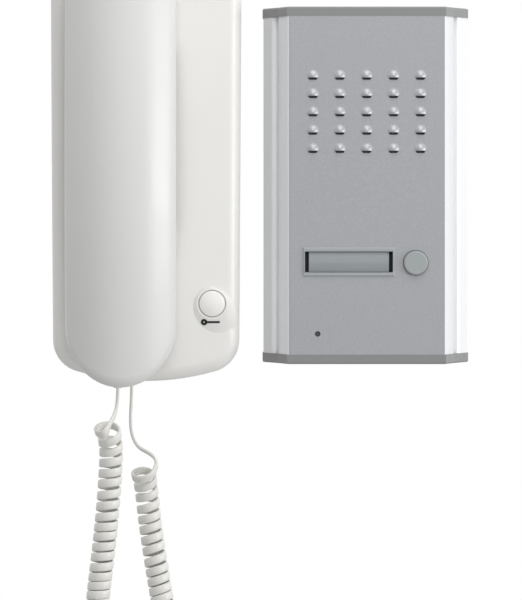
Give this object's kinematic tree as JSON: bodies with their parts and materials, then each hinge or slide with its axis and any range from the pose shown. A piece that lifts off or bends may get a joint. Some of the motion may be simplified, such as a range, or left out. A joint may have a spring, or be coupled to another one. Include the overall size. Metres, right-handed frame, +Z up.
{
  "type": "wired intercom",
  "caption": "White wall intercom: an indoor station with a cradled handset on a curly cord and a door release button, and a grey louvred door station with a name window and call button.",
  "frame": {"origin": "On the wall plane, at the middle of the indoor station's wall plate.", "axes": "+X to the right along the wall, +Z up, +Y into the wall; the viewer looks along +Y."},
  "size_m": [0.206, 0.058, 0.422],
  "materials": {
    "station_plastic": "moulded, semi gloss",
    "handset_plastic": "moulded, semi gloss",
    "button_plastic": "moulded, semi gloss",
    "works_plastic": "moulded, matt",
    "board": "lacquered laminate",
    "terminal_plastic": "moulded, matt",
    "plated_steel": "zinc plated",
    "can_sleeve": "shrink sleeve",
    "resistor_body": "lacquered",
    "black_plastic": "moulded, matt",
    "magnet": "sintered ferrite",
    "paper": "pressed pulp",
    "cloth": "woven",
    "foam": "cellular",
    "weight_steel": "zinc plated",
    "cord_rubber": "moulded, soft",
    "boot_rubber": "moulded, soft",
    "capsule_metal": "drawn can",
    "cord_sheath": "extruded, soft",
    "spring_steel": "drawn wire",
    "rail_aluminium": "extruded, satin",
    "cap_plastic": "moulded, satin",
    "panel_metal": "speckled coating",
    "frame_plastic": "moulded, satin",
    "card": "printed card",
    "window_plastic": "clear, polished",
    "lamp_plastic": "clear tinted",
    "trimmer_plastic": "moulded",
    "call_plastic": "moulded, semi gloss"
  },
  "bodies": {
    "stations": {"wall_plate": "station_plastic", "station_cover": "station_plastic", "station_circuit_board": "board", "station_board_screws": "plated_steel", "cover_screw": "plated_steel", "station_terminal_block": "terminal_plastic", "station_terminal_screws": "plated_steel", "station_capacitors": "can_sleeve", "station_resistors": "resistor_body", "station_transistors": "black_plastic", "release_switch": "black_plastic", "hook_switch": "black_plastic", "sounder": "black_plastic", "base_strain_relief": "cord_rubber", "release_spring": "spring_steel", "hook_spring": "spring_steel", "curly_cord": "cord_sheath", "base_cord_tail": "cord_sheath", "door_left_rail": "rail_aluminium", "door_right_rail": "rail_aluminium", "door_top_cap": "cap_plastic", "door_bottom_cap": "cap_plastic", "cap_screws": "plated_steel", "door_back_plate": "plated_steel", "door_front_plate": "panel_metal", "module_frame": "black_plastic", "speaker_cloth": "cloth", "speaker_gasket": "foam", "speaker_basket": "plated_steel", "speaker_magnet": "magnet", "speaker_cone": "paper", "name_frame": "frame_plastic", "name_card": "card", "name_window": "window_plastic", "door_circuit_board": "board", "door_board_screws": "plated_steel", "call_switch": "black_plastic", "call_spring": "spring_steel", "name_lamps": "lamp_plastic", "door_microphone_boot": "boot_rubber", "door_microphone": "capsule_metal", "door_terminal_block": "terminal_plastic", "door_terminal_screws": "plated_steel", "door_capacitors": "can_sleeve", "door_resistors": "resistor_body", "volume_trimmer": "trimmer_plastic"},
    "handset": {"handset_front_shell": "handset_plastic", "handset_back_shell": "handset_plastic", "handset_strain_relief": "cord_rubber", "handset_screws": "plated_steel", "handset_weight": "weight_steel", "receiver_gasket": "foam", "receiver_capsule": "black_plastic", "handset_microphone_boot": "boot_rubber", "handset_microphone": "capsule_metal", "handset_cord_tail": "cord_sheath"},
    "release": {"release_button": "button_plastic"},
    "plunger": {"hook_plunger": "works_plastic"},
    "call": {"call_button": "call_plastic"}
  },
  "joints": [
    {"name": "handset_lift", "type": "slide", "parent": "stations", "child": "handset", "axis": [0, -1, 0], "range_m": [0, 0.06], "deforming": ["handset_cord_tail", "curly_cord", "base_cord_tail"]},
    {"name": "hook_travel", "type": "slide", "parent": "stations", "child": "plunger", "axis": [0, -1, 0], "range_m": [0, 0.004], "deforming": ["hook_spring"]},
    {"name": "release_press", "type": "slide", "parent": "stations", "child": "release", "axis": [0, 1, 0], "range_m": [0, 0.002], "stiffness_N_per_m": 600, "springref_m": -0.002, "deforming": ["release_spring"]},
    {"name": "call_press", "type": "slide", "parent": "stations", "child": "call", "axis": [0, 1, 0], "range_m": [0, 0.0015], "stiffness_N_per_m": 600, "springref_m": -0.0015, "deforming": ["call_spring"]}
  ],
  "couplings": [
    {"joint": "hook_travel", "follows": "handset_lift", "ratio": 0.0666}
  ]
}
